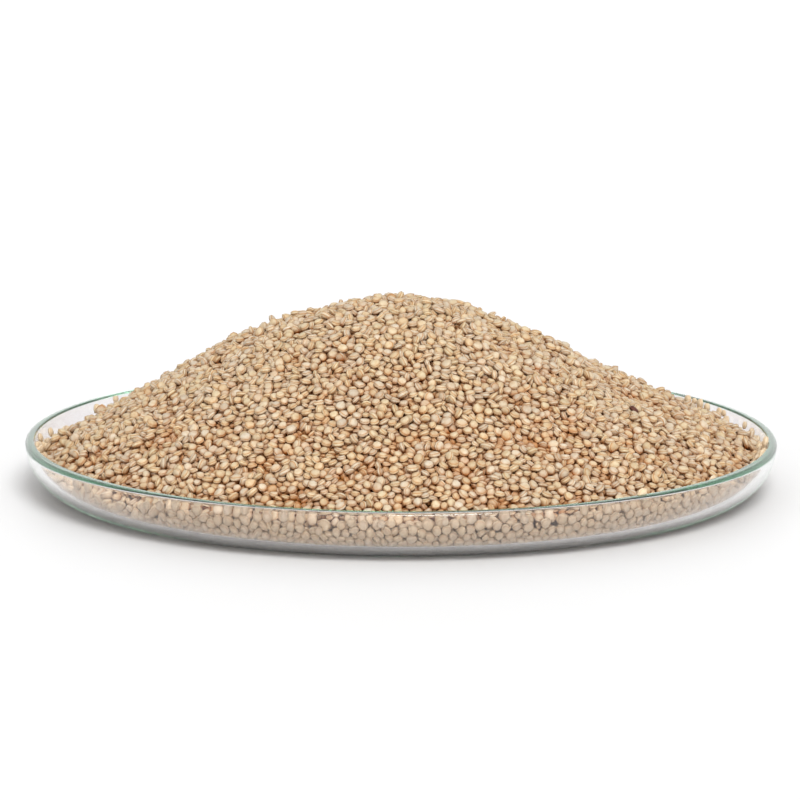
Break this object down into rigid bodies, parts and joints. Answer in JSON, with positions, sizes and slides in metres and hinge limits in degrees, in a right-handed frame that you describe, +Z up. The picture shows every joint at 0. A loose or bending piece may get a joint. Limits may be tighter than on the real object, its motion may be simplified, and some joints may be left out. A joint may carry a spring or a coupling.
{
  "type": "dish of quinoa",
  "caption": "Shallow round clear glass dish with a short steep wall, filled with a broad conical heap of dry pale quinoa grains that rises above the rim.",
  "frame": {"origin": "middle of the dish's flat base, on the surface it stands on", "axes": "+Z up along the dish's axis; +X to the right and +Y away from the viewer in the usual view"},
  "size_m": [0.15, 0.15, 0.0399],
  "materials": {
    "clear_glass": "clear, faintly green, with a polished rim, its outer corner well rounded",
    "dry_quinoa": "matt to faintly waxy seed coat, cream to golden tan, no two grains alike"
  },
  "bodies": {
    "root": {"dish": "clear_glass", "quinoa_heap": "dry_quinoa"}
  },
  "joints": []
}
